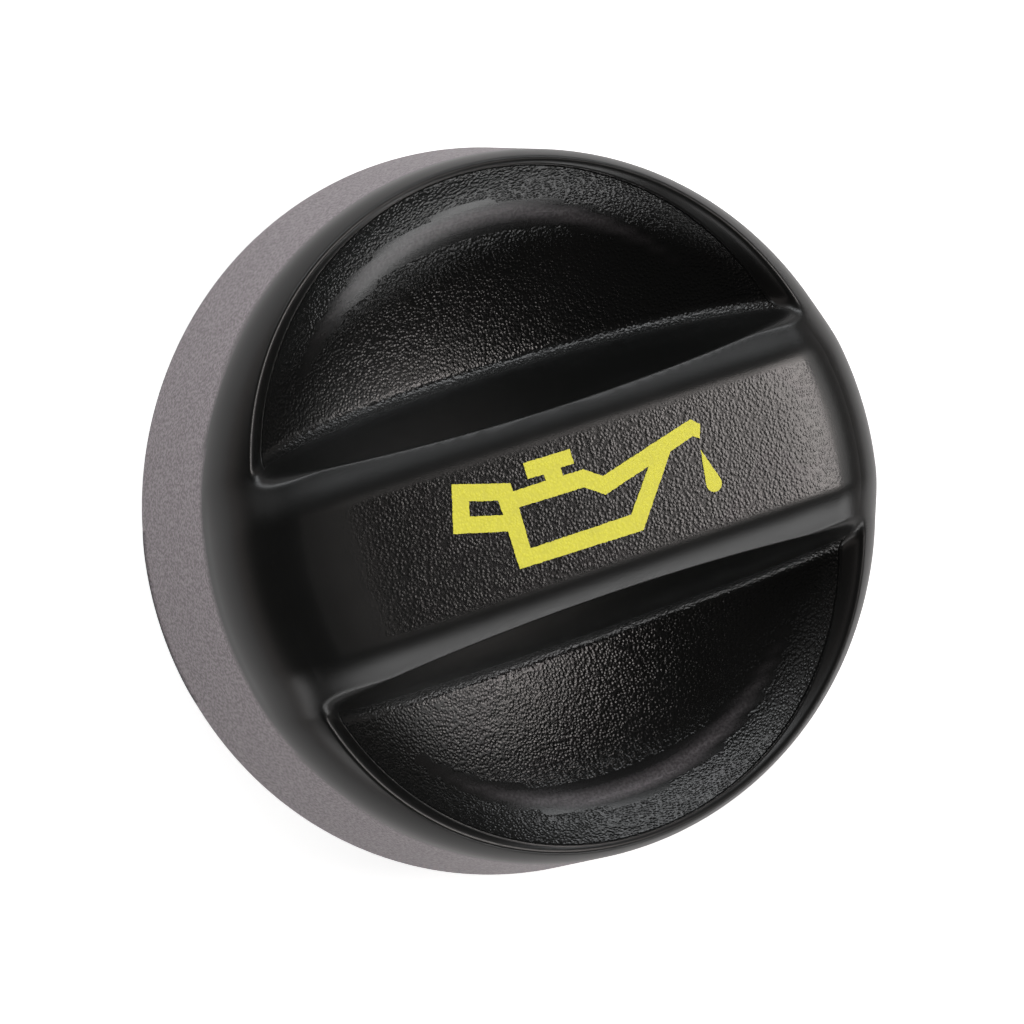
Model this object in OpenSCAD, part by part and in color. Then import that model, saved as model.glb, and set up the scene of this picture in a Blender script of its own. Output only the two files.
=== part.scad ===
// Oil filler cap with a grip bar, two finger pockets, a bayonet plug and a flat seal.
// X runs along the grip bar, Z up the cap's axis. The plug's lower edge lies at Z 0.

/* [Cap shell] */
// Diameter of the skirt at its lower edge
cap_d = 65; // [62:0.5:72]
// Lean of the skirt's side, in degrees
skirt_draft = 9; // [4:0.5:11]
// Height that the shoulder rises to between the bar and the pockets
rim_h = 18.7; // [17.5:0.1:21]
// Radius of the shoulder
shoulder_r = 6; // [5:0.1:7]
// Wall of the moulding
wall = 2.2; // [1.8:0.1:2.6]
// Rounding of the skirt's lower edge
skirt_edge_r = 0.6; // [0.3:0.05:0.8]

/* [Grip bar] */
// Width of the bar between its two creases, at its middle
bar_w = 16.2; // [14:0.1:20]
// Height of the bar's top above that shoulder
bar_rise = 1.6; // [0.8:0.1:2.4]
// Plan radius of the bar's hollow walls
bar_waist_r = 280; // [240:10:600]
// Slope of the bar's walls, in degrees
bar_draft = 20.5; // [12:0.5:24]
// Width of the bar's flat top between the rolls along its edges
bar_flat_w = 11.4; // [9:0.1:13]
// Radius of those rolls
bar_roll_r = 5.6; // [4:0.1:8]

/* [Finger pockets] */
// Distance of a pocket's own axis from the cap's axis
pocket_y = 4; // [3:0.1:5]
// Distance between the pocket's wall and the shoulder's outside, beside the middle of the bar
rim_w = 0.7; // [0.5:0.05:1.4]
// Slope of the pocket's curved wall, in degrees
pocket_draft = 22; // [16:1:30]
// Spherical radius of the pocket floors
dish_r = 50; // [44:1:70]
// Height of that sphere's lowest point above the skirt's lower edge
dish_low = 8.2; // [7.4:0.1:9]
// Fillet between the curved wall and the floor
floor_fillet_r = 9.7; // [7:0.1:11]

/* [Bayonet plug] */
// Outer diameter of the plug
plug_d = 35.6; // [33:0.1:38]
// Wall of the plug
plug_wall = 2.4; // [1.8:0.1:3]
// Reach of the plug below the seal
plug_reach = 11; // [9:0.1:14]
// Thickness of the flange that carries the seal
flange_t = 2; // [1.6:0.1:2.6]
// Thickness of the web that closes the plug
web_t = 2; // [1.4:0.1:2.6]
// Number of bayonet lugs
lug_count = 3; // [2:1:4]
// Angle that one lug spans, in degrees
lug_span = 42; // [30:1:55]
// Height of a lug
lug_h = 2.9; // [2.2:0.1:3.5]
// Reach of a lug beyond the plug
lug_reach = 2.7; // [1.5:0.1:3.2]
// Height of the lugs above the plug's lower edge
lug_z = 1.3; // [0.9:0.1:2]
// Slope of the lead-in on a lug, in degrees
lug_lead = 14; // [8:1:20]
// Chamfer on the plug's lower edge
plug_chamfer = 0.8; // [0.3:0.1:1]

/* [Seal] */
// Radial width of the seal
seal_w = 4.8; // [3.5:0.1:5.5]
// Thickness of the seal
seal_t = 2.8; // [2:0.1:3.4]
// Rounding of the seal's outer edges
seal_edge_r = 0.5; // [0.2:0.05:0.9]

/* [Collar and ribs] */
// Wall of the collar that holds the flange
collar_t = 1.8; // [1.4:0.1:2.4]
// Gap between the flange and the collar
collar_gap = 0.2; // [0.1:0.05:0.4]
// Depth of the snap bead under the flange
bead_depth = 0.5; // [0.3:0.05:0.7]
// Height of the snap bead
bead_h = 1; // [0.7:0.1:1.5]
// Gap between the plug and the shell above it
roof_gap = 0.5; // [0.3:0.1:1]
// Number of ribs inside the collar that press on the flange
seat_rib_count = 9; // [6:3:12]
// Radial length of a seat rib
seat_rib_l = 3.4; // [2.5:0.1:4]
// Number of ribs between the collar and the skirt
skirt_rib_count = 18; // [12:2:24]
// Height of those ribs above the skirt's lower edge
skirt_rib_z = 3.5; // [2:0.1:5]
// Thickness of every rib
rib_t = 1.4; // [1:0.1:2]
// Spacing of the ribs across the hollow of the bar
bar_rib_gap = 12; // [9:0.5:16]
// Number of keys that turn the plug with the cap
key_count = 3; // [2:1:4]
// Width of a key
key_w = 4; // [3:0.1:6]
// Depth of a key
key_depth = 1.5; // [1:0.1:2]
// Gap round a key in its notch
key_gap = 0.25; // [0.1:0.05:0.4]

/* [Hidden] */
$fn = 144;
waist_fn = 1440;
arc_steps = 8;
dish_steps = 12;
roll_end = 20;
over = 1;

// Radii of the plug, the seal and the collar, from the plug outwards
plug_r = plug_d / 2;
plug_bore_r = plug_r - plug_wall;
seal_r = plug_r + seal_w;
flange_r = seal_r + bead_depth + collar_gap + 0.2;
collar_r = flange_r + collar_gap;
collar_out_r = collar_r + collar_t;

// Heights above the skirt's lower edge
function roof_h(r) = dish_low + dish_r - sqrt(pow(dish_r + wall, 2) - r * r);
flange_top_h = roof_h(plug_bore_r - pocket_y) - roof_gap;
seal_low_h = flange_top_h - flange_t - seal_t;

// Heights in the cap's frame
skirt_z = plug_reach - seal_low_h;
seal_z = plug_reach;
flange_z = seal_z + seal_t;
flange_top_z = flange_z + flange_t;
web_top_z = skirt_z + roof_h(0) - roof_gap;
rim_z = skirt_z + rim_h;

// The two shoulders leave the skirt at one circle, the bar's with the larger radius
bar_shoulder_r = shoulder_r + bar_rise / (1 - sin(skirt_draft));
bar_z = rim_z + bar_rise;
side_n = [cos(skirt_draft), sin(skirt_draft)];
rim_centre = shoulder_centre(rim_z, shoulder_r);
bar_centre = shoulder_centre(bar_z, bar_shoulder_r);
function shoulder_centre(top, r) =
    [cap_d / 2 - (r + (top - r - skirt_z) * side_n.y) / side_n.x, top - r];

// The curved wall of a pocket seen from its own axis, as a line with its normal pointing out
pocket_n = [cos(pocket_draft), -sin(pocket_draft)];
pocket_u = [sin(pocket_draft), cos(pocket_draft)];
pocket_p = [rim_centre.x + shoulder_r * side_n.x - rim_w - pocket_y, rim_z];
dish_centre = [0, skirt_z + dish_low + dish_r];
fillet_centre = on_line(pocket_p - floor_fillet_r * pocket_n, pocket_u, dish_centre,
                        dish_r - floor_fillet_r, -1);

// The point of the line p + t * u that lies at distance r from c, the upper or lower one
function on_line(p, u, c, r, side) =
    let (w = p - c, b = w * u, t = -b + side * sqrt(b * b - w * w + r * r)) p + t * u;

// Points on an arc about c, from the angle a0 to the angle a1
function arc(c, r, a0, a1, steps = arc_steps) =
    [for (i = [0 : steps]) let (a = a0 + (a1 - a0) * i / steps) c + r * [cos(a), sin(a)]];
function angle_of(v) = atan2(v.y, v.x);

// Skirt and shoulder as a solid of revolution, its surface moved in by inset
module blank(inset, top, centre, r) {
    low = inset > 0 ? skirt_z - over : skirt_z;
    low_r = cap_d / 2 - inset / side_n.x - (low - skirt_z) * side_n.y / side_n.x;
    rotate_extrude() polygon([
        [0, low], [low_r, low], each arc(centre, r - inset, skirt_draft, 90), [0, top - inset]]);
}

// The far side of one of the bar's hollow walls, its surface moved towards the bar by outset
module beside_bar(outset) {
    crease_z = bar_z - bar_roll_r + sqrt(pow(bar_roll_r, 2) - pow((bar_w - bar_flat_w) / 2, 2));
    back = bar_waist_r - cap_d;
    wall_line = [for (z = [skirt_z - 2 * over, bar_z + over])
        [bar_waist_r + outset / cos(bar_draft) + (z - crease_z) * tan(bar_draft), z]];
    translate([0, bar_w / 2 + bar_waist_r, 0]) rotate([0, 0, -90])
        rotate_extrude(angle = 20, start = -10, $fn = waist_fn) polygon([
            [back, wall_line[0].y], each wall_line, [back, wall_line[1].y]]);
}

// The space of the pocket on the +Y side, its surface moved out by outset
module pocket_space(outset) {
    high = bar_z + over;
    line = pocket_p + outset * pocket_n;
    dish_end = angle_of(fillet_centre - dish_centre);
    intersection() {
        translate([0, pocket_y, 0]) rotate_extrude() polygon([
            each arc(dish_centre, dish_r + outset, -90, dish_end, dish_steps),
            each arc(fillet_centre, floor_fillet_r + outset, dish_end, -pocket_draft),
            line + pocket_u * (high - line.y) / pocket_u.y, [0, high]]);
        beside_bar(outset);
    }
}

// What is cut from the bar's blank beside its flat top, above the roll
module roll_waste(inset) {
    high = bar_z + over;
    centre = [bar_flat_w / 2, bar_z - bar_roll_r];
    roll = arc(centre, bar_roll_r - inset, 90, roll_end);
    rotate([90, 0, 90]) linear_extrude(height = cap_d, center = true) polygon([
        [centre.x, high], each roll, [cap_d, centre.y], [cap_d, high]]);
}

// The whole outer form, its surface moved in by inset
module cap_form(inset) {
    difference() {
        union() {
            blank(inset, rim_z, rim_centre, shoulder_r);
            difference() {
                blank(inset, bar_z, bar_centre, bar_shoulder_r);
                roll_waste(inset);
                mirror([0, 1, 0]) roll_waste(inset);
            }
        }
        pocket_space(inset);
        mirror([0, 1, 0]) pocket_space(inset);
    }
}

// Thin upright plates like spokes, from radius r1 to r2 and up from z
module spokes(count, r1, r2, thickness, z) {
    for (i = [0 : count - 1])
        rotate([0, 0, i * 360 / count]) translate([r1, -thickness / 2, z])
            cube([r2 - r1, thickness, bar_z - z]);
}

// Collar with its snap bead, and the ribs and keys inside the shell
module inner_plates() {
    difference() {
        translate([0, 0, flange_z - bead_h]) cylinder(h = bar_z - flange_z, r = collar_out_r);
        translate([0, 0, flange_z - bead_h - over]) cylinder(h = bar_z, r = collar_r);
    }
    rotate_extrude() polygon([[collar_r, flange_z - bead_h], [collar_r - bead_depth, flange_z - bead_h / 2],
                              [collar_r - bead_depth, flange_z], [collar_r + collar_t / 2, flange_z],
                              [collar_r + collar_t / 2, flange_z - bead_h]]);
    spokes(seat_rib_count, collar_r - seat_rib_l, collar_r + collar_t / 2, rib_t, flange_top_z);
    spokes(key_count, collar_r - key_depth, collar_r + collar_t / 2, key_w, flange_z + key_gap);
    spokes(skirt_rib_count, collar_r + collar_t / 2, cap_d / 2, rib_t, skirt_z + skirt_rib_z);
    intersection() {
        translate([0, 0, flange_top_z]) cylinder(h = bar_z - flange_top_z, r = collar_r + collar_t / 2);
        for (side = [-1, 0, 1])
            translate([side * bar_rib_gap - rib_t / 2, -collar_out_r, flange_top_z + over])
                cube([rib_t, 2 * collar_out_r, bar_z - flange_top_z]);
    }
}

// What is cut off the skirt's lower edge to round it
module skirt_edge_waste() {
    c = [cap_d / 2 - skirt_edge_r / side_n.x * (1 + side_n.y), skirt_z + skirt_edge_r];
    tip = [cap_d / 2 + over, skirt_z - over];
    rotate_extrude() polygon([
        [c.x, tip.y], each arc(c, skirt_edge_r, -90, skirt_draft), [tip.x, c.y], tip]);
}

// Outer moulding: skirt, shoulder, grip bar and pockets, hollow from below
module grip_cap() {
    color([0.11, 0.105, 0.11]) difference() {
        union() {
            difference() {
                cap_form(0);
                cap_form(wall);
            }
            intersection() {
                cap_form(wall / 2);
                inner_plates();
            }
        }
        skirt_edge_waste();
    }
}

// One bayonet lug with its sloping lead-in
module lug() {
    difference() {
        rotate_extrude(angle = lug_span) translate([plug_r - plug_wall / 2, lug_z])
            polygon([[0, 0], [plug_wall / 2 + lug_reach - lug_h / 4, 0],
                     [plug_wall / 2 + lug_reach, lug_h / 4], [plug_wall / 2 + lug_reach, lug_h],
                     [0, lug_h]]);
        translate([0, 0, lug_z + lug_h]) rotate([lug_lead, 0, 0]) translate([plug_r, -2 * over, -lug_h / 4])
            cube([2 * lug_reach, lug_span, 2 * lug_h]);
    }
}

// Inner moulding: plug tube, closing web, flange and lugs
module bayonet_plug() {
    web_z = web_top_z - web_t;
    color([0.13, 0.13, 0.13]) difference() {
        union() {
            rotate_extrude() polygon([
                [0, web_z], [plug_bore_r, web_z], [plug_bore_r, plug_chamfer / 2],
                [plug_bore_r + plug_chamfer / 2, 0], [plug_r - plug_chamfer, 0], [plug_r, plug_chamfer],
                [plug_r, flange_z], [flange_r, flange_z], [flange_r, flange_top_z],
                [plug_bore_r, flange_top_z], [plug_bore_r, web_top_z], [0, web_top_z]]);
            for (i = [0 : lug_count - 1])
                rotate([0, 0, i * 360 / lug_count]) lug();
        }
        for (i = [0 : key_count - 1])
            rotate([0, 0, i * 360 / key_count])
                translate([collar_r - key_depth - key_gap, -key_w / 2 - key_gap, flange_z - over])
                    cube([2 * key_depth, key_w + 2 * key_gap, flange_t + 2 * over]);
    }
}

// Flat rubber ring, stretched over the plug and held under the flange
module seal_ring() {
    r = seal_edge_r;
    color([0.05, 0.05, 0.05]) rotate_extrude() polygon([
        [plug_r, seal_z], each arc([seal_r - r, seal_z + r], r, -90, 0),
        each arc([seal_r - r, flange_z - r], r, 0, 90), [plug_r, flange_z]]);
}

grip_cap();
bayonet_plug();
seal_ring();
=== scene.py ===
import math

import bpy
import numpy as np
from mathutils import Matrix, Vector


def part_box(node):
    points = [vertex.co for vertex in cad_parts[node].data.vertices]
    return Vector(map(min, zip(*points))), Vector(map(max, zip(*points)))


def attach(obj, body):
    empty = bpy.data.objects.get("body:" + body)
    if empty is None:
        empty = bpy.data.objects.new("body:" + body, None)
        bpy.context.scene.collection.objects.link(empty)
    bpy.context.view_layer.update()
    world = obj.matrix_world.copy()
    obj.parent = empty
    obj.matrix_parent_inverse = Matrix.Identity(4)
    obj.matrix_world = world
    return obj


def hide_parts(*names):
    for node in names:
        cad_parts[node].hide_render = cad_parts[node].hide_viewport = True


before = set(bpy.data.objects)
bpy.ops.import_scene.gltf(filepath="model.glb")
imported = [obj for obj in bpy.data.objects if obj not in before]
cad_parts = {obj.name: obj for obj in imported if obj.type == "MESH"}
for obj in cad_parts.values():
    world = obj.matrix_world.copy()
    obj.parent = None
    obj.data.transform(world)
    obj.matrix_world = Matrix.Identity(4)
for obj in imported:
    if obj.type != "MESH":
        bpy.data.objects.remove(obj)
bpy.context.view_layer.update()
mm = 0.001
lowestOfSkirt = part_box("grip_cap")[0][2] / mm


class Wire:
    # one output socket: + - * / and ** add Math nodes, node() adds any other
    def __init__(self, tree, socket=None):
        self.tree = tree
        self.socket = socket

    def feed(self, socket, value):
        # links another wire, or sets a plain value
        if isinstance(value, Wire):
            self.tree.links.new(value.socket, socket)
        else:
            socket.default_value = value

    def node(self, kind, settings=(), inputs=(), output=0):
        made = self.tree.nodes.new(kind)
        for name, value in dict(settings).items():
            setattr(made, name, value)
        for name, value in dict(inputs).items():
            self.feed(made.inputs[name], value)
        return Wire(self.tree, made.outputs[output] if made.outputs else None)

    def maths(self, operation, first, second=0.0):
        return self.node("ShaderNodeMath", {"operation": operation}, {0: first, 1: second})

    def __add__(self, other):
        return self.maths("ADD", self, other)

    def __radd__(self, other):
        return self.maths("ADD", other, self)

    def __sub__(self, other):
        return self.maths("SUBTRACT", self, other)

    def __rsub__(self, other):
        return self.maths("SUBTRACT", other, self)

    def __mul__(self, other):
        return self.maths("MULTIPLY", self, other)

    def __rmul__(self, other):
        return self.maths("MULTIPLY", other, self)

    def __truediv__(self, other):
        return self.maths("DIVIDE", self, other)

    def __pow__(self, other):
        return self.maths("POWER", self, other)

    def absolute(self):
        return self.maths("ABSOLUTE", self)

    def larger(self, other):
        return self.maths("MAXIMUM", self, other)

    def above(self, limit):
        return self.maths("GREATER_THAN", self, limit)

    def clamp(self):
        return self.node("ShaderNodeClamp", (), {"Value": self})

    def ramp(self, low, high):
        inputs = {"Value": self, "From Min": low, "From Max": high}
        return self.node("ShaderNodeMapRange", {"interpolation_type": "SMOOTHSTEP"}, inputs)

    def mixColour(self, first, second):
        made = self.tree.nodes.new("ShaderNodeMix")
        made.data_type = "RGBA"
        for name, value in (("Factor", self), ("A", first), ("B", second)):
            self.feed(next(s for s in made.inputs if s.name == name and s.enabled), value)
        return Wire(self.tree, next(s for s in made.outputs if s.enabled))


def newMaterial(name):
    material = bpy.data.materials.new(name)
    material.use_nodes = True
    material.node_tree.nodes.clear()
    return material, Wire(material.node_tree)


def finishMaterial(start, inputs, surface="ShaderNodeBsdfPrincipled"):
    shader = start.node(surface, (), inputs)
    start.node("ShaderNodeOutputMaterial", (), {"Surface": shader})


# Materials, with their sizes in metres

def objectPlace(start):
    return start.node("ShaderNodeTexCoord", (), (), "Object")


def noise(start, place, size, detail=2.0, roughness=0.5):
    inputs = {"Vector": place, "Scale": 1 / size, "Detail": detail, "Roughness": roughness}
    return start.node("ShaderNodeTexNoise", (), inputs)


def bumped(start, height):
    inputs = {"Height": height, "Strength": 1.0, "Distance": 1.0}
    return start.node("ShaderNodeBump", (), inputs)


pebbleGrain = {
    "cell": 0.27 * mm,       # distance between pebbles
    "depth": 0.045 * mm,
    "warp": 0.13 * mm,       # how far the cells are pulled out of round
    "warpRate": 0.6,         # how often that pull turns in one cell
    "crown": 0.02,           # where a pebble begins to fall away from its middle
    "valley": 0.80,          # where it has reached the valley
    "fall": 0.62,            # how deep the valley is
    "even": 0.75,            # the height that all pebbles share
    "swell": 0.5,            # the part that changes slowly from place to place
    "swellCells": 4,
    "toothSize": 0.12 * mm,
    "tooth": 0.22,
}


def pebbles(start, place):
    # about 0 to 1: rounded pebbles with narrow valleys and a little fine tooth
    g = pebbleGrain
    drift = start.node("ShaderNodeTexNoise", (), {"Vector": place, "Detail": 1.0,
                                                  "Scale": g["warpRate"] / g["cell"]}, "Color")
    pull = start.node("ShaderNodeVectorMath", {"operation": "SCALE"},
                      {"Vector": drift, "Scale": g["warp"]})
    moved = start.node("ShaderNodeVectorMath", {"operation": "ADD"}, {0: place, 1: pull})
    cells = start.node("ShaderNodeTexVoronoi", {"feature": "F1"},
                       {"Vector": moved, "Scale": 1 / g["cell"]}, "Distance")
    fall = g["fall"] * cells.ramp(g["crown"], g["valley"])
    tooth = noise(start, place, g["toothSize"])
    swell = noise(start, place, g["swellCells"] * g["cell"], 1.0)
    return (1 - fall) * (g["even"] + g["swell"] * swell) + g["tooth"] * tooth


capPlastic = {
    "colour": (0.0041, 0.0045, 0.0044, 1),
    "worn": (0.0071, 0.0075, 0.0074, 1),
    "wornSize": 9 * mm,
    "wornShare": 0.5,
    # painted light: the skirt's black plastic is painted pale grey-pink, a painted glare that
    # stands in for the bright floor it catches at a grazing angle
    "skirtPaintedGlare": (0.168, 0.149, 0.160, 1),
    "skirtPaleGlarePainted": (0.350, 0.317, 0.338, 1),
    "roughness": 0.31,
    "skirtRoughness": 0.52,
    "grainRoughness": 0.22,
    "shineSize": 2.4 * mm,
    "shineRange": 0.05,          # how much the roughness wanders
    "satinSize": 0.10 * mm,      # the fine tooth on every smooth face
    "satinDepth": 0.0035 * mm,
    "skirtSize": 0.24 * mm,
    "skirtDepth": 0.028 * mm,
    "faceGrain": 0.42,           # how deep the bar's grain is beside that of the pockets
    "grainEnd": 24.85 * mm,      # the fine line round each pocket's grain
    "grainSoft": 0.04 * mm,
    "lineWidth": 0.13 * mm,
    "lineHeight": 0.08 * mm,
    "least": 0.001,              # a mask below this shows nothing
}


def pocketReach(start, place):
    # distance from the nearer pocket's own axis
    x, y = (start.node("ShaderNodeSeparateXYZ", (), {"Vector": place}, axis) for axis in "XY")
    across = y.absolute() - shell["pocketY"] * mm
    return (x ** 2.0 + across * across) ** 0.5


def makeCapPlastic():
    c = capPlastic
    material, start = newMaterial("capPlastic")
    place = objectPlace(start)
    pocket, face, beside, skirt = (
        start.node("ShaderNodeAttribute", {"attribute_name": name}, (), "Fac")
        for name in ("pocket", "face", "line", "skirt"))
    reach = pocketReach(start, place)
    deep = pocket * reach.ramp(c["grainEnd"] + c["grainSoft"], c["grainEnd"] - c["grainSoft"])
    pebble = deep.larger(face)
    line = beside * (1 - (reach - c["grainEnd"]).absolute() / c["lineWidth"]).clamp()
    satin = noise(start, place, c["satinSize"], 3.0)
    tooth = noise(start, place, c["skirtSize"], 3.0, 0.6)
    smoothHeight = line * c["lineHeight"] + satin * c["satinDepth"]
    grainHeight = ((deep + face * c["faceGrain"]) * pebbles(start, place) * pebbleGrain["depth"]
                   + line * c["lineHeight"] + (1 - pebble) * satin * c["satinDepth"])
    skirtHeight = smoothHeight + skirt * tooth * c["skirtDepth"]
    wear = noise(start, place, c["wornSize"], 3.0).ramp(0.35, 0.7) * c["wornShare"]
    shine = noise(start, place, c["shineSize"], 4.0, 0.6) - 0.5
    roughness = (c["roughness"] + (c["skirtRoughness"] - c["roughness"]) * skirt
                 + (c["grainRoughness"] - c["roughness"]) * pebble + c["shineRange"] * shine)
    dark = wear.mixColour(c["colour"], c["worn"])
    # painted glare: the skirt's mask turns the black towards pale grey-pink, paler still on the
    # tooth's peaks
    pale = tooth.ramp(0.35, 0.65).mixColour(c["skirtPaintedGlare"], c["skirtPaleGlarePainted"])

    # one surface for each texture, which saves working out the others. The skirt comes before
    # the grain: where its mask reaches the edge of a floor, that floor has no pebbles
    def surface(height, colour):
        return start.node("ShaderNodeBsdfPrincipled", (), {
            "Base Color": colour, "Roughness": roughness, "Normal": bumped(start, height),
            "IOR": 1.5})

    top = start.node("ShaderNodeMixShader", (), {
        0: pebble.above(c["least"]), 1: surface(smoothHeight, dark),
        2: surface(grainHeight, dark)})
    finishMaterial(start, {
        0: skirt.above(c["least"]), 1: top,
        2: surface(skirtHeight, skirt.mixColour(dark, pale))}, "ShaderNodeMixShader")
    return material


padPrint = {
    "colour": (0.90, 0.86, 0.074, 1),
    "thin": (0.77, 0.735, 0.080, 1),       # where the ink lies thin over a pebble
    "thinOnGrain": 0.45,
    "patchSize": 1.5 * mm,
    "thinInPatches": 0.35,
    "roughness": 0.5,
    "grain": 0.55,                         # how much of the grain shows through
    "lift": 0.03,                          # above the bar's top, mm
    "step": 0.18,                          # length of the steps in the ink's edge, mm
    "ragged": 0.015,                       # how far the ink's edge wanders, mm
    "seed": 7,
}


def makePrintInk():
    p = padPrint
    material, start = newMaterial("printInk")
    place = objectPlace(start)
    grain = pebbles(start, place)
    patches = noise(start, place, p["patchSize"], 4.0, 0.65)
    thin = (grain.ramp(0.95, 0.45) * p["thinOnGrain"]
            + patches.ramp(0.48, 0.72) * p["thinInPatches"]).clamp()
    finishMaterial(start, {
        "Base Color": thin.mixColour(p["colour"], p["thin"]), "Roughness": p["roughness"],
        "Normal": bumped(start, grain * (p["grain"] * pebbleGrain["depth"]))})
    return material


plugPlastic = {
    "colour": (0.020, 0.020, 0.021, 1),
    "pale": (0.032, 0.031, 0.032, 1),
    "paleSize": 6 * mm,
    "roughness": 0.42,
    "paleRoughness": 0.08,
    "toothSize": 0.14 * mm,
    "depth": 0.006 * mm,
}


def makePlugPlastic():
    p = plugPlastic
    material, start = newMaterial("plugPlastic")
    place = objectPlace(start)
    flow = noise(start, place, p["paleSize"], 4.0, 0.6).ramp(0.35, 0.7)
    tooth = noise(start, place, p["toothSize"], 3.0)
    finishMaterial(start, {
        "Base Color": flow.mixColour(p["colour"], p["pale"]),
        "Roughness": p["roughness"] + p["paleRoughness"] * flow,
        "Normal": bumped(start, tooth * p["depth"])})
    return material


sealRubber = {
    "colour": (0.012, 0.012, 0.012, 1),
    "bloom": (0.030, 0.030, 0.031, 1),
    "bloomSize": 3 * mm,
    "bloomShare": 0.6,
    "roughness": 0.68,
    "bloomRoughness": 0.1,
    "toothSize": 0.2 * mm,
    "depth": 0.010 * mm,
}


def makeSealRubber():
    s = sealRubber
    material, start = newMaterial("sealRubber")
    place = objectPlace(start)
    bloom = noise(start, place, s["bloomSize"], 4.0, 0.65).ramp(0.42, 0.75)
    tooth = noise(start, place, s["toothSize"], 3.0, 0.6)
    finishMaterial(start, {
        "Base Color": (bloom * s["bloomShare"]).mixColour(s["colour"], s["bloom"]),
        "Roughness": s["roughness"] - s["bloomRoughness"] * bloom,
        "Normal": bumped(start, tooth * s["depth"])})
    return material


# Outer moulding, in mm with heights from the skirt's lower edge

shell = {
    "edgeRadius": 32.5,
    "draft": 9,              # lean of the skirt, degrees
    "rimHeight": 18.7,
    "shoulder": 6.0,
    "wall": 2.2,
    "skirtEdge": 0.6,
    "barRise": 1.6,
    "barHalfWidth": 8.1,
    "waist": 280,            # plan radius of the bar's hollow walls
    "barDraft": 20.5,
    "flatHalfWidth": 5.6,
    "barShoulder": 6.4,
    "easeStart": 19.5,       # where the bar's top begins to dip towards its ends
    "easeRun": 7,
    "ease": 0.008,
    "rollEnd": 10.3,         # where the bar's edge has run down to the rim
    "pocketY": 4.0,          # each pocket turns about an axis of its own
    "pocketDraft": 21,
    "pocketEdge": 26.15,     # from that axis, at the rim's height
    "dish": 50,
    "dishLow": 8.2,
    "flareStart": 16,        # where the dish begins to steepen towards the rim
    "flare": 0.00275,
    "steepest": 0.93,        # sine of its steepest slope
    "wallFoot": 0.8,         # how far each pair of faces runs into the other
    "footBlend": 3.4,
    "creaseBlend": 0.22,
    "edgeBlend": 1.7,
    "edgeBlendEnds": 2.0,
    "ends": (8, 20),         # where, along the bar, the pocket's edge takes its blend there
    "tips": (19, 25.5),      # the same for the crease
    "sides": (2.5, -2.5),    # from the bar's wall to the curved one
    "spokes": 560,           # lines of points from the axis outwards
    "spokeCrowd": 0.4,       # how much closer they stand at the bar's ends
    "outerRings": 112,
    "innerRings": 26,
    "edgeRings": 5,
    "turnShare": 1.3,        # how much a turn draws the rings, beside the length
    "samples": 3000,
}


def turned(angle):
    # sine and cosine
    return math.sin(math.radians(angle)), math.cos(math.radians(angle))


def softMax(first, second, blend):
    # the larger of two heights, with the corner between them rounded
    blend = np.maximum(blend, 1e-6)
    near = np.maximum(blend - np.abs(first - second), 0) / blend
    return np.maximum(first, second) + near * near * blend / 4


def softMin(first, second, blend):
    return -softMax(-first, -second, blend)


def smoothStep(low, high, value):
    t = np.clip((value - low) / (high - low), 0, 1)
    return t * t * (3 - 2 * t)


def shoulderOf(top, bend):
    # the centre of the shoulder's arc, which leaves the skirt's side as a tangent
    sine, cosine = turned(shell["draft"])
    return shell["edgeRadius"] - (bend + (top - bend) * sine) / cosine, top - bend


def turnedHeight(r, top, bend, inset):
    sine, cosine = turned(shell["draft"])
    centreR, centreZ = shoulderOf(top, bend)
    bend = bend - inset
    along = np.clip(r - centreR, 0, bend)
    arc = centreZ + np.sqrt(np.maximum(bend ** 2 - along ** 2, 0))
    side = centreZ + bend * sine - (r - centreR - bend * cosine) * cosine / sine
    return np.where(r < centreR + bend * cosine, arc, side)


def bodyHeight(y, r, inset):
    # the shoulder round the rims, and the bar's higher one that runs down into it
    s = shell
    rim = turnedHeight(r, s["rimHeight"], s["shoulder"], inset)
    bar = turnedHeight(r, s["rimHeight"] + s["barRise"], s["barShoulder"], inset)
    bar -= s["ease"] * np.clip(r - s["easeStart"], 0, s["easeRun"]) ** 2
    return bar + (rim - bar) * smoothStep(s["flatHalfWidth"], s["rollEnd"], np.abs(y))


def flareTable():
    # section of a pocket's floor about its own axis: a dish that steepens outwards
    s = shell
    q = np.linspace(0, 40, 4001)
    sine = q / s["dish"] + s["flare"] * np.maximum(q - s["flareStart"], 0) ** 2
    slope = np.tan(np.arcsin(np.minimum(sine, s["steepest"])))
    rise = np.cumsum((slope[1:] + slope[:-1]) / 2) * q[1]
    return q, s["dishLow"] + np.append(0, rise), np.hypot(1, slope)


flareRadii, flareHeights, flareLean = flareTable()


def flareHeight(q, inset):
    s = shell
    sine, cosine = turned(s["pocketDraft"])
    floor = (np.interp(q, flareRadii, flareHeights)
             - inset * np.interp(q, flareRadii, flareLean))
    wall = s["rimHeight"] + (q - s["pocketEdge"] - inset / cosine) * cosine / sine
    return softMax(floor, wall, s["wallFoot"])


def pocketHeight(x, y, inset):
    s = shell
    sine, cosine = turned(s["barDraft"])
    drop = s["barRise"] * smoothStep(s["flatHalfWidth"], s["rollEnd"], s["barHalfWidth"])
    crease = s["barHalfWidth"] + x * x / (2 * s["waist"])
    wall = (s["rimHeight"] + s["barRise"] - drop
            - (np.abs(y) - crease + inset / cosine) * cosine / sine)
    flare = flareHeight(np.hypot(x, np.abs(y) - s["pocketY"]), inset)
    return softMax(flare, wall, s["footBlend"]), wall - flare


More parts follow.
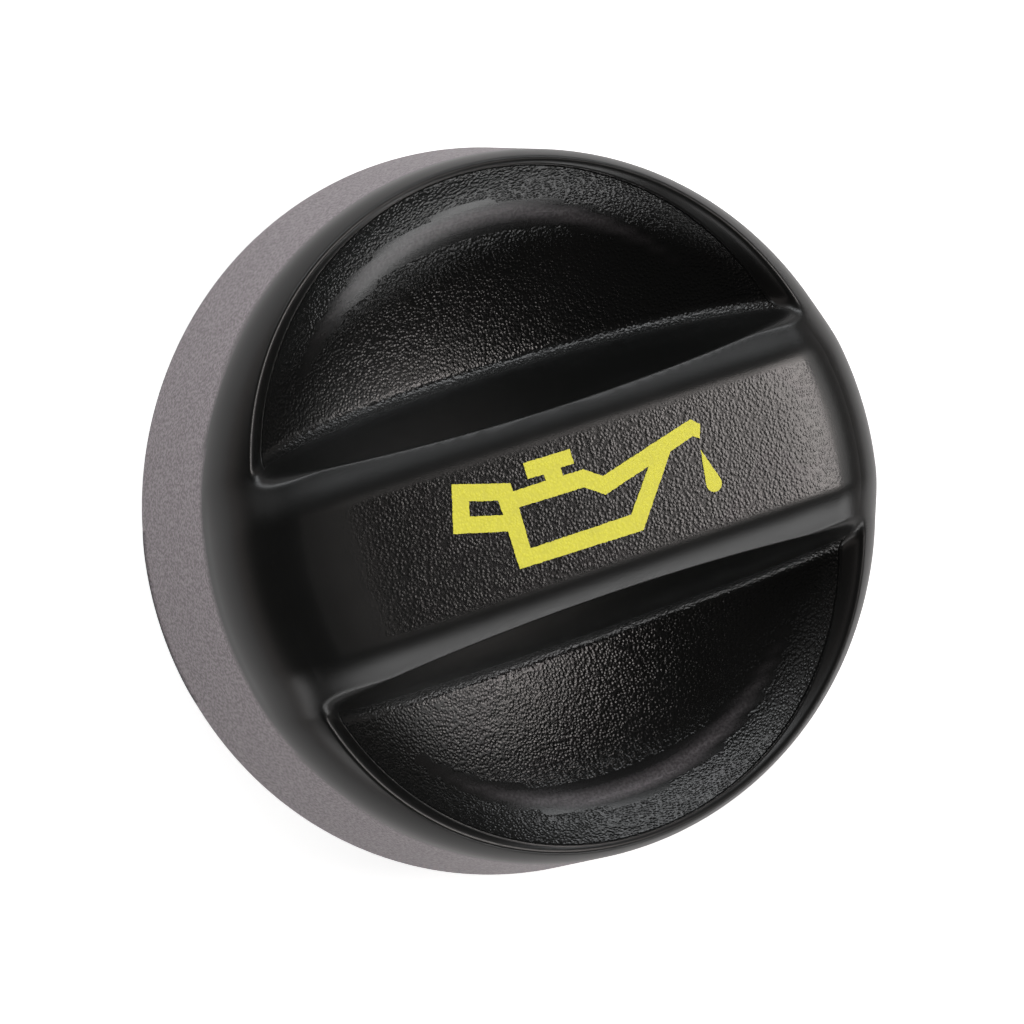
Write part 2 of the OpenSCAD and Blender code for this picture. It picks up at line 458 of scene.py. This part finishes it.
def capHeight(x, y, inset=0.0):
    s = shell
    body = bodyHeight(y, np.hypot(x, y), inset)
    pocket, side = pocketHeight(x, y, inset)
    ends = smoothStep(*s["ends"], np.abs(x))
    edge = s["edgeBlend"] + (s["edgeBlendEnds"] - s["edgeBlend"]) * ends
    tip = smoothStep(*s["tips"], np.abs(x))
    crease = s["creaseBlend"] + (s["edgeBlendEnds"] - s["creaseBlend"]) * tip
    edge = crease + (edge - crease) * smoothStep(*s["sides"], side)
    return softMin(body, pocket, edge)


def spacedRings(angle, start, end, inset, count):
    # places on one radial line, closer together where the section turns
    s = shell
    r = np.linspace(start, end, s["samples"])
    z = capHeight(r * math.cos(angle), r * math.sin(angle), inset)
    lean = np.unwrap(np.arctan2(np.diff(z), np.diff(r)))
    length = np.hypot(np.diff(z), np.diff(r))
    turn = np.abs(np.diff(lean, prepend=lean[0]))
    weight = length / length.sum() + s["turnShare"] * turn / turn.sum()
    run = np.concatenate([[0], np.cumsum(weight)])
    places = np.interp(np.linspace(0, run[-1], count + 1), run, r)
    return places, capHeight(places * math.cos(angle), places * math.sin(angle), inset)


def shellSection(angle):
    # one closed line from the top's middle, round the skirt's edge, to the middle inside
    s = shell
    sine, cosine = turned(s["draft"])
    outside = s["skirtEdge"]
    centre = s["edgeRadius"] - outside * (1 + sine) / cosine
    r, z = spacedRings(angle, 0.0, centre + outside * cosine, 0.0, s["outerRings"])
    bend = np.radians(np.linspace(s["draft"], -90, s["edgeRings"] + 1))[1:]
    edgeR = centre + outside * np.cos(bend)
    edgeZ = outside + outside * np.sin(bend)
    inner = s["edgeRadius"] - s["wall"] / cosine
    innerR, innerZ = spacedRings(angle, inner - 0.25 * sine / cosine, 0.0, s["wall"],
                                 s["innerRings"])
    allR = np.concatenate([r, edgeR, [inner + 0.2], innerR])
    allZ = np.concatenate([z, edgeZ, [0.0], innerZ])
    return allR, allZ


grainArea = {
    # where each mask starts and where it ends, in mm
    "wallFoot": (-0.2, 0.6),       # height of the bar's wall over the floor
    "rim": (26.0, 27.0),           # from the pocket's axis
    "faceSide": (5.3, 5.9),
    "faceRight": (23.0, 24.4),
    "faceLeft": (-21.5, -16.5),
    "lineSide": (9.0, 9.6),
    "skirtTop": (13.6, 13.0),      # above the skirt's lower edge
    "skirtRadius": (24, 27),
    "skirtInside": 0.1,            # the skirt's share on the hidden side
}


def grainMasks(x, y):
    # pebble grain covers the pockets and the bar's flat top; the third mask leads the fine line
    a = grainArea
    out = np.abs(y)
    beside = 1 - smoothStep(*a["wallFoot"], pocketHeight(x, y, 0)[1])
    pocket = beside * (1 - smoothStep(*a["rim"], np.hypot(x, out - shell["pocketY"])))
    face = ((1 - smoothStep(*a["faceSide"], out)) * (1 - smoothStep(*a["faceRight"], x))
            * smoothStep(*a["faceLeft"], x))
    return pocket, face, beside * smoothStep(*a["lineSide"], out)


# marks the skirt: rougher and toothed, and painted pale as a painted glare
def skirtMask(r, z):
    return smoothStep(*grainArea["skirtTop"], z) * smoothStep(*grainArea["skirtRadius"], r)


def makeShell():
    s = shell
    points = []
    masks = {"pocket": [], "face": [], "line": [], "skirt": []}
    for step in range(s["spokes"]):
        angle = 2 * math.pi * step / s["spokes"]
        angle -= s["spokeCrowd"] * math.sin(2 * angle) / 2
        r, z = shellSection(angle)
        x, y = r * math.cos(angle), r * math.sin(angle)
        outer = np.arange(len(r)) <= s["outerRings"]
        grain = [np.where(outer, mask, 0) for mask in grainMasks(x, y)]
        grain.append(np.where(outer, skirtMask(r, z), grainArea["skirtInside"]))
        first = 0 if step == 0 else 1
        last = len(r) if step == 0 else len(r) - 1
        points += [Vector(p) * mm for p in zip(x[first:last], y[first:last],
                                                z[first:last] + lowestOfSkirt)]
        for name, mask in zip(masks, grain):
            masks[name] += list(mask[first:last])
    row = len(r) - 2
    apex, under = 0, row + 1
    firstOf = [1 + (0 if step == 0 else step * row + 1) for step in range(s["spokes"])]
    faces = []
    for step in range(s["spokes"]):
        here, there = firstOf[step], firstOf[(step + 1) % s["spokes"]]
        faces.append((apex, here, there))
        faces += [(here + k, here + k + 1, there + k + 1, there + k) for k in range(row - 1)]
        faces.append((here + row - 1, under, there + row - 1))
    mesh = bpy.data.meshes.new("grip_shell")
    mesh.from_pydata(points, [], faces)
    for name, values in masks.items():
        layer = mesh.attributes.new(name, "FLOAT", "POINT")
        layer.data.foreach_set("value", values)
    mesh.validate()
    mesh.shade_smooth()
    piece = bpy.data.objects.new("grip_shell", mesh)
    bpy.context.scene.collection.objects.link(piece)
    print("shell:", len(mesh.vertices), "points,", len(mesh.polygons), "faces")
    return piece


inside = {
    "collarRadius": 23.7,
    "collarOuter": 25.5,
    "collarEdge": 0.25,
    "beadDepth": 0.5,
    "beadHeight": 1.0,
    "flangeZ": 13.8,         # heights above the plug's lower edge
    "flangeTop": 15.8,
    "collarSteps": 288,
    "ribThickness": 1.4,
    "ribEdge": 0.2,
    "ribSteps": 16,
    "skirtRibs": 18,
    "skirtRibEnd": 30.8,
    "skirtRibZ": 12.54,
    "seatRibs": 9,
    "seatRibStart": 20.3,
    "keys": 3,
    "keyStart": 22.2,
    "keyWidth": 4.0,
    "keyZ": 14.05,
}


def roofAt(x, y):
    # middle of the shell's wall above each point
    return capHeight(x, y, shell["wall"] / 2) + lowestOfSkirt


def sweptMesh(name, sections, closed):
    # skin over a row of equal loops of points
    count = len(sections[0])
    points = [Vector(p) * mm for section in sections for p in section]
    faces = []
    for row in range(len(sections) if closed else len(sections) - 1):
        here, there = row * count, (row + 1) % len(sections) * count
        faces += [(here + k, here + (k + 1) % count, there + (k + 1) % count, there + k)
                  for k in range(count)]
    if not closed:
        faces.append(tuple(range(count))[::-1])
        faces.append(tuple(range(len(points) - count, len(points))))
    mesh = bpy.data.meshes.new(name)
    mesh.from_pydata(points, [], faces)
    mesh.validate()
    piece = bpy.data.objects.new(name, mesh)
    bpy.context.scene.collection.objects.link(piece)
    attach(piece, "root")
    mesh.materials.append(capMaterial)
    return piece


def makeCollar():
    i = inside
    low, edge = i["flangeZ"] - i["beadHeight"], i["collarEdge"]
    sections = []
    for angle in np.linspace(0, 2 * math.pi, i["collarSteps"], endpoint=False):
        outline = [(i["collarRadius"], None), (i["collarRadius"], i["flangeZ"]),
                   (i["collarRadius"] - i["beadDepth"], i["flangeZ"]),
                   (i["collarRadius"] - i["beadDepth"], low + i["beadHeight"] / 2),
                   (i["collarRadius"], low), (i["collarOuter"] - edge, low),
                   (i["collarOuter"], low + edge), (i["collarOuter"], None)]
        section = []
        for r, z in outline:
            x, y = r * math.cos(angle), r * math.sin(angle)
            section.append((x, y, float(roofAt(x, y)) if z is None else z))
        sections.append(section)
    return sweptMesh("inner_collar", sections, True)


def makeRib(name, angle, start, end, thickness, z):
    half, edge = thickness / 2, inside["ribEdge"]
    sections = []
    for r in np.linspace(start, end, inside["ribSteps"]):
        section = []
        for across, height in ((-half, None), (half, None), (half, z + edge), (half - edge, z),
                               (edge - half, z), (-half, z + edge)):
            x = r * math.cos(angle) - across * math.sin(angle)
            y = r * math.sin(angle) + across * math.cos(angle)
            section.append((x, y, float(roofAt(x, y)) if height is None else height))
        sections.append(section)
    return sweptMesh(name, sections, False)


def makeInside():
    i = inside
    makeCollar()
    middle = (i["collarRadius"] + i["collarOuter"]) / 2
    kinds = (("skirt_rib", i["skirtRibs"], middle, i["skirtRibEnd"], i["ribThickness"],
              i["skirtRibZ"]),
             ("seat_rib", i["seatRibs"], i["seatRibStart"], middle, i["ribThickness"],
              i["flangeTop"]),
             ("key", i["keys"], i["keyStart"], middle, i["keyWidth"], i["keyZ"]))
    for name, count, start, end, thickness, z in kinds:
        for step in range(count):
            makeRib(name, 2 * math.pi * step / count, start, end, thickness, z)
    print("inside: collar and", sum(kind[1] for kind in kinds), "ribs and keys")


# Printed oil can on the bar, in mm

oilCan = {
    "handle": [(-10.3, 4.7), (-5.4, 3.3), (-6.8, -0.4), (-11.4, 0.8)],
    "handleHole": [(-9.3, 2.95), (-6.85, 2.25), (-6.8, 1.0), (-9.6, 1.75)],
    "body": [(-5.4, 3.3), (-5.4, 2.6), (-2.35, 2.6), (-2.4, 3.15), (-3.85, 3.2), (-3.85, 4.55),
             (0.45, 4.5), (0.45, 3.25), (-0.8, 3.25), (-0.8, 2.55), (1.1, 2.55), (2.6, 1.5),
             (11.6, 3.75), (12.35, 3.1), (11.95, 1.95), (11.4, 2.35), (9.05, 1.7),
             (4.7, -3.85), (-6.75, -3.65), (-6.8, -0.4)],
    "bodyHole": [(-5.3, 1.2), (0.7, 1.1), (2.35, -0.05), (6.8, 1.1), (4.05, -2.3), (-5.35, -2.3)],
    "dropTip": (11.75, 1.05),
    "dropMiddle": (12.05, -2.0),
    "dropRadius": 0.72,
    "dropCorners": 22,
}


def dropOutline():
    # a circle with a straight-sided tip
    tip, middle = Vector(oilCan["dropTip"]), Vector(oilCan["dropMiddle"])
    radius = oilCan["dropRadius"]
    axis = tip - middle
    lead = math.atan2(axis.y, axis.x)
    opening = math.acos(radius / axis.length)
    turns = np.linspace(lead + opening, lead + 2 * math.pi - opening, oilCan["dropCorners"])
    return [tuple(tip)] + [(middle.x + radius * math.cos(t), middle.y + radius * math.sin(t))
                           for t in turns]


def raggedOutline(corners, source):
    # straight edges cut into short steps that wander a little, as ink on a grain does
    outline = []
    for (x0, y0), (x1, y1) in zip(corners, corners[1:] + corners[:1]):
        count = max(1, round(math.hypot(x1 - x0, y1 - y0) / padPrint["step"]))
        for k in range(count):
            t = k / count
            shift = source.normal(0, padPrint["ragged"], 2) if k else (0, 0)
            outline.append((x0 + (x1 - x0) * t + shift[0], y0 + (y1 - y0) * t + shift[1]))
    return outline


def makePrint(material):
    source = np.random.default_rng(padPrint["seed"])
    curve = bpy.data.curves.new("oil_can_print", "CURVE")
    curve.dimensions = "2D"
    curve.fill_mode = "BOTH"
    curve.extrude = 0.5 * padPrint["lift"] * mm
    whole = oilCan["handle"][:1] + oilCan["body"] + oilCan["handle"][3:]
    for corners in (whole, oilCan["handleHole"], oilCan["bodyHole"], dropOutline()):
        outline = raggedOutline(list(corners), source)
        spline = curve.splines.new("POLY")
        spline.points.add(len(outline) - 1)
        spline.use_cyclic_u = True
        for point, (x, y) in zip(spline.points, outline):
            point.co = (x * mm, y * mm, 0, 1)
    shape = bpy.data.objects.new("print_outline", curve)
    bpy.context.scene.collection.objects.link(shape)
    mesh = bpy.data.meshes.new_from_object(shape.evaluated_get(
        bpy.context.evaluated_depsgraph_get()))
    bpy.data.objects.remove(shape)
    top = lowestOfSkirt + shell["rimHeight"] + shell["barRise"]
    mesh.transform(Matrix.Translation((0, 0, (top + 0.5 * padPrint["lift"]) * mm)))
    mesh.name = "oil_can_print"
    mesh.materials.clear()
    mesh.materials.append(material)
    piece = bpy.data.objects.new("oil_can_print", mesh)
    bpy.context.scene.collection.objects.link(piece)
    print("print:", len(mesh.polygons), "faces")
    return piece


# Stage, light and camera

floorLook = {
    "size": 3.0,
    "colour": (0.86, 0.86, 0.86, 1),
    "glow": 0.72,             # plain white that the camera sees
    "reflected": 0.30,        # plain white that reflections see on the cap's left
    "aside": 0.18,            # the same elsewhere
    "left": (-0.4, -0.95),    # cosine of the direction in which one fades to the other
}


def makeFloor():
    f = floorLook
    mesh = bpy.data.meshes.new("floor")
    half = f["size"] / 2
    mesh.from_pydata([(-half, -half, 0), (half, -half, 0), (half, half, 0), (-half, half, 0)],
                     [], [(0, 1, 2, 3)])
    piece = bpy.data.objects.new("floor", mesh)
    bpy.context.scene.collection.objects.link(piece)
    material, start = newMaterial("paleFloor")
    camera = start.node("ShaderNodeLightPath", (), (), "Is Camera Ray")
    glossy = start.node("ShaderNodeLightPath", (), (), "Is Glossy Ray")
    place = objectPlace(start)
    along, across = (start.node("ShaderNodeSeparateXYZ", (), {"Vector": place}, axis)
                     for axis in "XY")
    cosine = along / (along ** 2.0 + across * across + 1e-6) ** 0.5
    left = cosine.ramp(*f["left"])
    reflected = f["aside"] + (f["reflected"] - f["aside"]) * left
    matt = start.node("ShaderNodeBsdfDiffuse", (), {"Color": f["colour"]})
    glow = start.node("ShaderNodeEmission", (), {"Color": (1, 1, 1, 1),
                                                 "Strength": camera * f["glow"]
                                                 + glossy * reflected})
    both = start.node("ShaderNodeAddShader", (), {0: matt, 1: glow})
    start.node("ShaderNodeOutputMaterial", (), {"Surface": both})
    mesh.materials.append(material)


skyLook = {
    "tint": (1, 0.90, 0.86, 1),
    "horizon": 0.60,          # brightness of a white surround, low down
    "right": 0.22,            # the same on the cap's right
    "overhead": 0.032,
    "band": (0.48, 0.12),     # sine of the height from faded to full
    "left": (0.3, -0.9),      # where the right's brightness fades to the left's
}


def makeWorld():
    world = bpy.data.worlds.new("softRoom")
    bpy.context.scene.world = world
    world.use_nodes = True
    world.node_tree.nodes.clear()
    start = Wire(world.node_tree)
    direction = start.node("ShaderNodeTexCoord", (), (), "Generated")
    height = start.node("ShaderNodeSeparateXYZ", (), {"Vector": direction}, "Z")
    along = start.node("ShaderNodeSeparateXYZ", (), {"Vector": direction}, "X")
    s = skyLook
    low = s["right"] + (s["horizon"] - s["right"]) * along.ramp(*s["left"])
    level = s["overhead"] + (low - s["overhead"]) * height.ramp(*s["band"])
    camera = start.node("ShaderNodeLightPath", (), (), "Is Camera Ray")
    strength = level * (1 - camera) + camera
    tint = camera.mixColour(s["tint"], (1, 1, 1, 1))
    light = start.node("ShaderNodeBackground", (), {"Color": tint, "Strength": strength})
    start.node("ShaderNodeOutputWorld", (), {"Surface": light})


lampDistance = 0.60
lampTarget = (0, 0, 0.02)
lamps = {
    # azimuth and height of the lamp in degrees, its size in metres, level 1 is white
    "windowRight": {"azimuth": 0, "height": 57, "size": (0.29, 0.12), "level": 9.6,
                    "colour": (1.0, 0.93, 0.90)},
    "panelRight": {"azimuth": 3, "height": 40, "size": (0.38, 0.20), "level": 1.7,
                   "colour": (1.0, 0.99, 0.98)},
    "panelBack": {"azimuth": 118, "height": 31, "size": (0.30, 0.18), "level": 0.6},
    "stripBack": {"azimuth": 76, "height": 26, "size": (0.72, 0.10), "level": 5.8,
                  "colour": (0.96, 0.98, 1.0)},
    "stripFront": {"azimuth": -72, "height": 25, "size": (0.72, 0.09), "level": 6.2},
    "stripFrontLeft": {"azimuth": -133, "height": 17, "size": (0.22, 0.10), "level": 3.0},
    "fill": {"azimuth": 128, "height": 45, "size": (0.52, 0.50), "level": 1.3,
             "colour": (1.0, 0.985, 0.99), "mirrored": False},
}


def directionOf(azimuth, height):
    azimuth, height = math.radians(azimuth), math.radians(height)
    return Vector((math.cos(height) * math.cos(azimuth), math.cos(height) * math.sin(azimuth),
                   math.sin(height)))


def makeLamps():
    for name, lamp in lamps.items():
        data = bpy.data.lights.new(name, "AREA")
        data.shape = "RECTANGLE"
        data.size, data.size_y = lamp["size"]
        data.energy = lamp["level"] * math.pi * lamp["size"][0] * lamp["size"][1]
        data.color = lamp.get("colour", (1, 1, 1))
        away = directionOf(lamp["azimuth"], lamp["height"])
        piece = bpy.data.objects.new(name, data)
        piece.location = Vector(lampTarget) + away * lampDistance
        piece.rotation_euler = away.to_track_quat("Z", "Y").to_euler()
        piece.visible_glossy = lamp.get("mirrored", True)
        bpy.context.scene.collection.objects.link(piece)


view = {
    # where the camera stands, seen from the cap, and what lies in the picture's middle:
    # degrees and mm
    "azimuth": 167.56,
    "height": 69.854,
    "roll": 85.044,
    "distance": 257.745,
    "aimRight": 1.325,
    "aimDown": 0.184,
    "focal": 101.46,
    "sensor": 36.0,
    "clip": 10,
}


def makeCamera():
    away = directionOf(view["azimuth"], view["height"])
    level = Vector((0, 0, 1)).cross(away).normalized()
    steep = away.cross(level)
    roll = math.radians(view["roll"])
    right = level * math.cos(roll) + steep * math.sin(roll)
    up = away.cross(right)
    place = Vector((0, 0, lowestOfSkirt * mm)) + away * (view["distance"] * mm)
    data = bpy.data.cameras.new("camera")
    data.lens = view["focal"]
    data.sensor_width = view["sensor"]
    data.clip_start = view["clip"] * mm
    piece = bpy.data.objects.new("camera", data)
    piece.matrix_world = Matrix.Translation(
        place + right * view["aimRight"] * mm - up * view["aimDown"] * mm
    ) @ Matrix((right, up, away)).transposed().to_4x4()
    bpy.context.scene.collection.objects.link(piece)
    bpy.context.scene.camera = piece


scene = bpy.context.scene
scene.view_settings.view_transform = "Standard"

print("materials")
capMaterial = makeCapPlastic()
plugMaterial = makePlugPlastic()
sealMaterial = makeSealRubber()

print("outer moulding")
gripShell = makeShell()
gripShell.data.materials.append(capMaterial)
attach(gripShell, "root")
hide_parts("grip_cap")

print("collar and ribs")
makeInside()

print("print")
oilCanPrint = makePrint(makePrintInk())
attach(oilCanPrint, "root")

print("plug and seal")
for node, material in (("bayonet_plug", plugMaterial), ("seal_ring", sealMaterial)):
    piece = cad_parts[node]
    piece.data.materials.clear()
    piece.data.materials.append(material)

print("stage")
makeFloor()
makeWorld()
makeLamps()
makeCamera()
